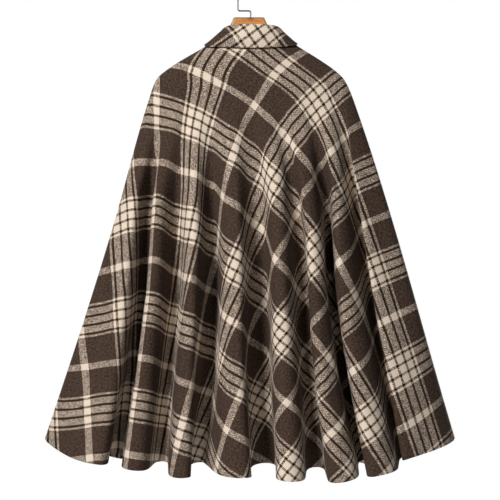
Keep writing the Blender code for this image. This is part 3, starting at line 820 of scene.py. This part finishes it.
def hook_route():
    """Centre line of the wire: a stem, a jog to the side, then up and round over the rail."""
    bend = HOOK_BEND_RADIUS
    stem_bend = (HOOK_STEM_X - bend, HOOK_JOG_Z - bend)
    side_bend = (bend - HOOK_RADIUS, HOOK_JOG_Z + bend)
    route = [(HOOK_STEM_X, BAR_CREST_Z + HOOK_STEM_GAP)]
    route += arc_points(stem_bend, bend, 0.0, 0.5 * math.pi, CORNER_POINTS)
    route += arc_points(side_bend, bend, -0.5 * math.pi, -math.pi, CORNER_POINTS)
    route += arc_points((0.0, HOOK_WIRE_RADIUS - HOOK_RADIUS), HOOK_RADIUS, math.pi, HOOK_TIP_ANGLE,
                        HOOK_ARC_POINTS)
    return route


def new_curve(name, points, dimensions):
    """A curve of straight steps, drawn lying down."""
    curve = bpy.data.curves.new(name, "CURVE")
    curve.dimensions = dimensions
    spline = curve.splines.new("POLY")
    spline.points.add(len(points) - 1)
    for spline_point, place in zip(spline.points, points):
        spline_point.co = (place[0], place[1], 0.0, 1.0)
    return curve


def solid_from_curve(curve, material):
    """A welded mesh of a curve that was drawn lying down, stood up."""
    drawn = add_object(curve.name, curve)
    mesh = bpy.data.meshes.new_from_object(drawn.evaluated_get(bpy.context.evaluated_depsgraph_get()))
    bpy.data.objects.remove(drawn)
    welded = bmesh.new()
    welded.from_mesh(mesh)
    bmesh.ops.remove_doubles(welded, verts=welded.verts, dist=WELD_DISTANCE)
    welded.to_mesh(mesh)
    welded.free()
    mesh.transform(Matrix.Rotation(0.5 * math.pi, 4, "X"))
    mesh.materials.clear()
    mesh.materials.append(material)
    mesh.shade_smooth()
    return add_object(curve.name, mesh)


def make_bar(material):
    curve = new_curve("wooden_bar", bar_outline(), "2D")
    curve.splines[0].use_cyclic_u = True
    curve.fill_mode = "BOTH"
    curve.extrude = 0.5 * BAR_THICKNESS - BAR_EDGE_ROUNDING
    curve.bevel_depth = BAR_EDGE_ROUNDING
    curve.bevel_resolution = BAR_BEVEL_STEPS
    curve.offset = -BAR_EDGE_ROUNDING
    bar = solid_from_curve(curve, material)
    bar.modifiers.new("even shading", "WEIGHTED_NORMAL")
    return bar


def make_hook(material):
    curve = new_curve("wire_hook", hook_route(), "3D")
    curve.bevel_depth = HOOK_WIRE_RADIUS
    curve.bevel_resolution = HOOK_BEVEL_STEPS
    curve.use_fill_caps = True
    hook = solid_from_curve(curve, material)
    hook.data.set_sharp_from_angle(angle=SHARP_WIRE_END)
    return hook


# Materials

def fill(tree, node, values):
    """Set a node's inputs to fixed values, or link them to what other nodes put out."""
    for name, value in values.items():
        if isinstance(value, (int, float, tuple)):
            node.inputs[name].default_value = value
        else:
            tree.links.new(value, node.inputs[name])


def new_node(tree, kind, values=(), **settings):
    """A shader node with its settings and what goes into it."""
    node = tree.nodes.new("ShaderNode" + kind)
    for name, value in settings.items():
        setattr(node, name, value)
    fill(tree, node, dict(values))
    return node


def math_node(tree, operation, *terms, clamp=False):
    return new_node(tree, "Math", enumerate(terms), operation=operation, use_clamp=clamp).outputs[0]


def mix_colour(tree, factor, first, second):
    node = new_node(tree, "Mix", data_type="RGBA")
    places = [socket.identifier for socket in node.inputs]
    values = {"Factor_Float": factor, "A_Color": first, "B_Color": second}
    fill(tree, node, {places.index(name): value for name, value in values.items()})
    return next(socket for socket in node.outputs if socket.identifier == "Result_Color")


def noise(tree, vector, scale, detail=2.0, roughness=0.5):
    values = {"Vector": vector, "Scale": scale, "Detail": detail, "Roughness": roughness}
    return new_node(tree, "TexNoise", values).outputs


def gamma_node(tree, colour, power):
    return new_node(tree, "Gamma", {"Color": colour, "Gamma": power}).outputs["Color"]


def scaled_colour(tree, colour, factor):
    node = new_node(tree, "VectorMath", {0: colour, "Scale": factor}, operation="SCALE")
    return node.outputs["Vector"]


def ramp_value(tree, value, start, stop, first=0.0, last=1.0):
    """A value mapped smoothly from one range to another, held at the ends."""
    values = {"Value": value, "From Min": start, "From Max": stop, "To Min": first, "To Max": last}
    return new_node(tree, "MapRange", values, interpolation_type="SMOOTHSTEP").outputs["Result"]


def stretched(tree, place, scale):
    """A place scaled along each axis, for a grain that runs one way."""
    return new_node(tree, "Mapping", {"Vector": place, "Scale": scale}).outputs["Vector"]


def bumped(tree, height, strength, distance, invert=False):
    """Normals of a surface that is raised by a height."""
    values = {"Height": height, "Strength": strength, "Distance": distance}
    return new_node(tree, "Bump", values, invert=invert).outputs["Normal"]


def new_group(name, inputs, outputs):
    """A shader node group, from the names and kinds of its sockets."""
    group = bpy.data.node_groups.new(name, "ShaderNodeTree")
    for way, sockets in (("INPUT", inputs), ("OUTPUT", outputs)):
        for label, kind in sockets.items():
            group.interface.new_socket(label, in_out=way, socket_type="NodeSocket" + kind)
    entry = group.nodes.new("NodeGroupInput")
    leave = group.nodes.new("NodeGroupOutput")
    return group, entry.outputs, leave


def stripe_group():
    """Yarn colour at a place across the stripes, in repeats."""
    group, entry, leave = new_group("striped_yarns", {"Place": "Float", **YARN_SOCKETS}, {"Yarn": "Color"})
    marks = {"brown": (0.0, 0.0, 0.0, 1.0), "cream": (1.0, 0.0, 0.0, 1.0), "dark": (0.0, 1.0, 0.0, 1.0)}
    half = math_node(group, "MULTIPLY", math_node(group, "PINGPONG", entry["Place"], 0.5), 2.0)
    ramp = new_node(group, "ValToRGB", {"Fac": half})
    ramp.color_ramp.interpolation = "CONSTANT"
    elements = ramp.color_ramp.elements
    elements.remove(elements[1])
    total = sum(stripe.width for stripe in HALF_SETT)
    start = 0.0
    for number, stripe in enumerate(HALF_SETT):
        element = elements[0] if number == 0 else elements.new(start / total)
        element.color = marks[stripe.yarn]
        start += stripe.width
    split = new_node(group, "SeparateColor", {"Color": ramp.outputs["Color"]}).outputs
    with_cream = mix_colour(group, split["Red"], entry["Brown"], entry["Cream"])
    fill(group, leave, {"Yarn": mix_colour(group, split["Green"], with_cream, entry["Dark"])})
    return group


def yarn_places(group, cut):
    """Place across the warp and across the weft, in repeats, where the yarns wander a little."""
    split = new_node(group, "SeparateXYZ", {"Vector": cut}).outputs
    wander = new_node(group, "SeparateColor", {"Color": noise(group, cut, scale=60.0)["Color"]}).outputs
    places = []
    for axis, channel in (("X", "Red"), ("Y", "Green")):
        shift = math_node(group, "MULTIPLY_ADD", wander[channel], YARN_WANDER, -0.5 * YARN_WANDER)
        places.append(math_node(group, "ADD", split[axis], shift))
    return places


def twill_weave(group, places):
    """Share of the weft that shows at each crossing of the yarns, and the raised steps of the twill."""
    yarns_each_way = PLAID_REPEAT / YARN_PITCH
    ends, picks = [math_node(group, "FLOOR", math_node(group, "MULTIPLY", place, yarns_each_way))
                   for place in places]
    diagonal = math_node(group, "ADD", ends, picks)
    step = math_node(group, "FRACT", math_node(group, "MULTIPLY", diagonal, 1.0 / TWILL_YARNS))
    twill = math_node(group, "LESS_THAN", step, 0.5)
    crossing = new_node(group, "CombineXYZ", {"X": ends, "Y": picks}).outputs["Vector"]
    chance = new_node(group, "TexWhiteNoise", {"Vector": crossing}, noise_dimensions="2D").outputs["Value"]
    least_weft = 0.5 - 0.5 * (YARN_CHANCE + TWILL_SHARE)
    mixed = math_node(group, "MULTIPLY_ADD", chance, YARN_CHANCE, least_weft)
    return math_node(group, "MULTIPLY_ADD", twill, TWILL_SHARE, mixed, clamp=True), twill


def heathered_yarn(group, cut, colour):
    """A yarn spun from lighter and darker fibres."""
    heather = noise(group, cut, scale=48.0, detail=4.0, roughness=0.75)["Fac"]
    spread = math_node(group, "MULTIPLY_ADD", heather, HEATHER_CONTRAST, 1.0 - 0.5 * HEATHER_CONTRAST)
    return scaled_colour(group, colour, math_node(group, "MAXIMUM", spread, DARKEST_HEATHER))


def plaid_group():
    """Twill of striped warp and weft, in uneven woollen yarns."""
    group, entry, leave = new_group("plaid_twill", {"Cut": "Vector", **YARN_SOCKETS},
                                    {"Color": "Color", "Height": "Float"})
    cut = entry["Cut"]
    places = yarn_places(group, cut)
    stripes = stripe_group()
    brown = heathered_yarn(group, cut, entry["Brown"])
    tones = []
    for place in places:
        values = {"Place": place, "Brown": brown, "Cream": entry["Cream"], "Dark": entry["Dark"]}
        yarn = new_node(group, "Group", values, node_tree=stripes).outputs["Yarn"]
        tones.append(gamma_node(group, yarn, 1.0 / YARN_MIX_POWER))
    weft_share, twill = twill_weave(group, places)
    woven = gamma_node(group, mix_colour(group, weft_share, tones[0], tones[1]), YARN_MIX_POWER)
    melange = noise(group, cut, scale=240.0, detail=3.0, roughness=0.7)["Fac"]
    shade = math_node(group, "MULTIPLY_ADD", melange, MELANGE_CONTRAST, 1.0 - 0.5 * MELANGE_CONTRAST)
    fuzz = math_node(group, "MULTIPLY", melange, MELANGE_HEIGHT)
    height = math_node(group, "MULTIPLY_ADD", twill, TWILL_HEIGHT, fuzz)
    fill(group, leave, {"Color": scaled_colour(group, woven, shade), "Height": height})
    return group


def uneven_group():
    """A value that wanders over a surface between two limits."""
    sockets = {"Place": "Vector", "Scale": "Float", "Low": "Float", "High": "Float"}
    group, entry, leave = new_group("uneven_finish", sockets, {"Value": "Float"})
    cloud = noise(group, entry["Place"], entry["Scale"], detail=3.0, roughness=0.6)["Fac"]
    reach = math_node(group, "SUBTRACT", entry["High"], entry["Low"])
    fill(group, leave, {"Value": math_node(group, "MULTIPLY_ADD", cloud, reach, entry["Low"])})
    return group


def uneven_value(tree, uneven, place, scale, low, high):
    values = {"Place": place, "Scale": scale, "Low": low, "High": high}
    return new_node(tree, "Group", values, node_tree=uneven).outputs["Value"]


def new_material(name):
    material = bpy.data.materials.new(name)
    material.use_nodes = True
    return material, material.node_tree, material.node_tree.nodes["Principled BSDF"]


def plaid_wool():
    """Dry woollen cloth with a slight nap."""
    material, tree, shader = new_material("plaid_wool")
    cut = new_node(tree, "UVMap", uv_map=CUT_MAP).outputs["UV"]
    values = {"Cut": cut, "Brown": BROWN_YARN, "Cream": CREAM_YARN, "Dark": DARK_YARN}
    plaid = new_node(tree, "Group", values, node_tree=plaid_group()).outputs
    fill(tree, shader, {
        "Base Color": plaid["Color"],
        "Normal": bumped(tree, plaid["Height"], strength=0.5, distance=0.0006),
        "Roughness": 0.95,
        "Specular IOR Level": 0.08,
        "Sheen Weight": 0.05,
        "Sheen Roughness": 0.45,
        "Sheen Tint": NAP_SHEEN,
    })
    return material


def varnished_wood(uneven):
    """Straight-grained wood under clear varnish, with painted shade at its rounded rim and round the hook's
    hole.
    """
    material, tree, shader = new_material("varnished_wood")
    place = new_node(tree, "TexCoord").outputs["Object"]
    along = stretched(tree, place, GRAIN_SCALE)
    figure = noise(tree, along, scale=2.0, detail=4.0, roughness=0.6)["Fac"]
    wood = mix_colour(tree, ramp_value(tree, figure, start=0.35, stop=0.68), PALE_WOOD, DEEP_WOOD)
    split = new_node(tree, "SeparateXYZ", {"Vector": place}).outputs
    yellow = ramp_value(tree, split["X"], *YELLOW_WOOD_X, first=0.7, last=0.0)
    wood = mix_colour(tree, yellow, wood, YELLOW_WOOD)
    pore_cloud = noise(tree, stretched(tree, place, PORE_SCALE), scale=3.0)["Fac"]
    pores = ramp_value(tree, pore_cloud, start=0.62, stop=0.72, last=0.55)
    # Painted shade: the bar's rounded rim is darkened towards its outline
    rim_start, rim_stop = [share * BAR_THICKNESS for share in RIM_SHADE_SHARES]
    depth = math_node(tree, "ABSOLUTE", split["Y"])
    rim = ramp_value(tree, depth, rim_start, rim_stop, first=0.85, last=0.0)
    # Painted shade: the wood is darkened round the hook's hole, where the hook enters the bar
    hole = (HOOK_STEM_X, 0.0, BAR_CREST_Z)
    to_hole = new_node(tree, "VectorMath", {0: place, 1: hole}, operation="DISTANCE").outputs["Value"]
    hook_shade = ramp_value(tree, to_hole, *HOOK_SHADE_RADII, first=0.75, last=0.0)
    # The pores are the grain's own dark; the rim and hook masks mix in painted shade
    for mask in (pores, rim, hook_shade):
        wood = mix_colour(tree, mask, wood, DARK_GRAIN_AND_SHADE)
    fill(tree, shader, {
        "Base Color": wood,
        "Normal": bumped(tree, pores, strength=0.25, distance=0.0003, invert=True),
        "Roughness": uneven_value(tree, uneven, along, scale=3.0, low=0.22, high=0.50),
        "Coat Weight": 0.25,
        "Coat Roughness": 0.18,
    })
    return material


def steel_wire(uneven):
    """Drawn steel wire, a little dulled by handling."""
    material, tree, shader = new_material("steel_wire")
    place = new_node(tree, "TexCoord").outputs["Object"]
    dull = uneven_value(tree, uneven, place, scale=160.0, low=-0.3, high=1.3)
    scratches = noise(tree, stretched(tree, place, SCRATCH_SCALE), scale=1.0)["Fac"]
    tone = math_node(tree, "MULTIPLY_ADD", scratches, SCRATCH_SHARE, dull, clamp=True)
    fill(tree, shader, {
        "Base Color": mix_colour(tree, tone, DULL_STEEL, BRIGHT_STEEL),
        "Normal": bumped(tree, scratches, strength=0.15, distance=0.0001),
        "Roughness": uneven_value(tree, uneven, place, scale=300.0, low=0.35, high=0.60),
        "Metallic": 1.0,
    })
    return material


# Room

def pale_floor():
    """Pale paint that fades into the white room at its edge."""
    material, tree, shader = new_material("pale_floor")
    fill(tree, shader, {"Base Color": FLOOR_PAINT, "Roughness": 0.9})
    place = new_node(tree, "TexCoord").outputs["Object"]
    radius = new_node(tree, "VectorMath", {0: place}, operation="LENGTH").outputs["Value"]
    fade_start, fade_stop = [share * FLOOR_RADIUS for share in FLOOR_FADE_SHARES]
    rim = ramp_value(tree, radius, fade_start, fade_stop)
    seen = new_node(tree, "LightPath").outputs["Is Camera Ray"]
    white = new_node(tree, "Emission", {"Strength": seen}).outputs["Emission"]
    fade = new_node(tree, "MixShader", {"Fac": rim, 1: shader.outputs["BSDF"], 2: white})
    fill(tree, tree.nodes["Material Output"], {"Surface": fade.outputs["Shader"]})
    return material


def make_room():
    """A pale floor, a white room and the lights."""
    bpy.ops.mesh.primitive_circle_add(vertices=FLOOR_CORNERS, radius=FLOOR_RADIUS, fill_type="NGON",
                                      location=(0.0, 0.0, FLOOR_Z))
    floor = bpy.context.object
    floor.name = "floor"
    floor.data.materials.append(pale_floor())
    make_world()
    for box in SOFT_BOXES:
        hang_soft_box(box)
    bpy.context.scene.view_settings.view_transform = "Standard"


def make_world():
    """A white room: pure white behind the poncho, softer as a light on it."""
    world = bpy.data.worlds.new("studio")
    world.use_nodes = True
    tree = world.node_tree
    seen = new_node(tree, "LightPath").outputs["Is Camera Ray"]
    strength = math_node(tree, "MAXIMUM", seen, ROOM_LIGHT)
    fill(tree, tree.nodes["Background"], {"Color": WHITE, "Strength": strength})
    bpy.context.scene.world = world


def aim_at(thing, place, target):
    """Put a light or camera at a place, looking at a target."""
    direction = Vector(target) - Vector(place)
    thing.location = place
    thing.rotation_euler = direction.to_track_quat("-Z", "Y").to_euler()


def hang_soft_box(box):
    lamp = bpy.data.lights.new(box.name, "AREA")
    lamp.size = box.size
    lamp.energy = box.power
    aim_at(add_object(box.name, lamp), box.place, (0.0, 0.0, VIEW_CENTRE_Z))


def make_camera():
    """A level camera, with the photo's field of view at the hanger's plane."""
    lens = bpy.data.cameras.new("photo_camera")
    lens.sensor_width = SENSOR_WIDTH
    lens.lens = SENSOR_WIDTH * CAMERA_DISTANCE / VIEW_WIDTH
    camera = add_object("photo_camera", lens)
    aim_at(camera, (0.0, -CAMERA_DISTANCE, VIEW_CENTRE_Z), (0.0, 0.0, VIEW_CENTRE_Z))
    bpy.context.scene.camera = camera


def settle(piece, slot, *nodes):
    """Let a piece move with the body, in the place of its nodes, which it hides; its slot, the finish, is
    not used.
    """
    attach(piece, "root")
    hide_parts(*nodes)


def main():
    wool = plaid_wool()
    uneven = uneven_group()
    bar = make_bar(varnished_wood(uneven))
    settle(bar, "varnished_wood", "hanger_bar")
    settle(make_hook(steel_wire(uneven)), "steel_wire", "hanger_hook")
    draped_panels = {name: drape(panel) for name, panel in PANELS.items()}
    for name, draped in draped_panels.items():
        piece = cloth_shell(name + "_panel", draped.grid, plaid_place(draped.flat), wool, -1.0,
                            flip=name == "left_front")
        settle(piece, "plaid_wool", name)
    collar, flat = make_collar(draped_panels, wool)
    settle(collar, "plaid_wool", "collar_stand", "collar_fall")
    make_room()
    make_camera()


main()
